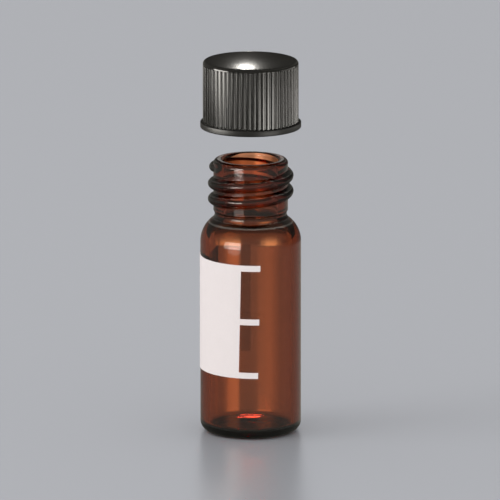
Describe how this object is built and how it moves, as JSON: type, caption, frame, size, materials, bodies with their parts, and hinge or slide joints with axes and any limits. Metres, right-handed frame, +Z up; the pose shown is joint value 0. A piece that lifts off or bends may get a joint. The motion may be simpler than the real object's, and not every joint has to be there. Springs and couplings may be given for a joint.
{
  "type": "sample vial",
  "caption": "Small amber glass laboratory sample vial with a screw neck, a white write-on panel and a black ribbed screw cap with a liner, shown with the cap raised.",
  "frame": {"origin": "centre of the base, on the surface that the vial stands on", "axes": "+Z up along the vial's axis, through the neck and the cap; -Y is the front, which the bars of the write-on panel face; +X is to the right seen from the front"},
  "size_m": [0.0117, 0.0117, 0.0435],
  "materials": {
    "glass": "clear amber, polished",
    "panel": "matt fired coating",
    "cap": "moulded black, satin gloss",
    "liner": "smooth, off-white"
  },
  "bodies": {
    "vial": {"glass": "glass", "panel": "panel"},
    "sealing_disc": {"liner": "liner"},
    "screw_cap": {"cap": "cap"}
  },
  "joints": [
    {"name": "cap_lift", "type": "slide", "parent": "vial", "child": "sealing_disc", "axis": [0, 0, 1], "range_m": [-0.0092, 0]},
    {"name": "cap_turn", "type": "hinge", "parent": "sealing_disc", "child": "screw_cap", "pos_m": [0, 0, 0.0412], "axis": [0, 0, 1], "range_deg": [-1825.8, 0]}
  ],
  "couplings": [
    {"joint": "cap_turn", "follows": "cap_lift", "rad_per_m": 3463.7}
  ]
}
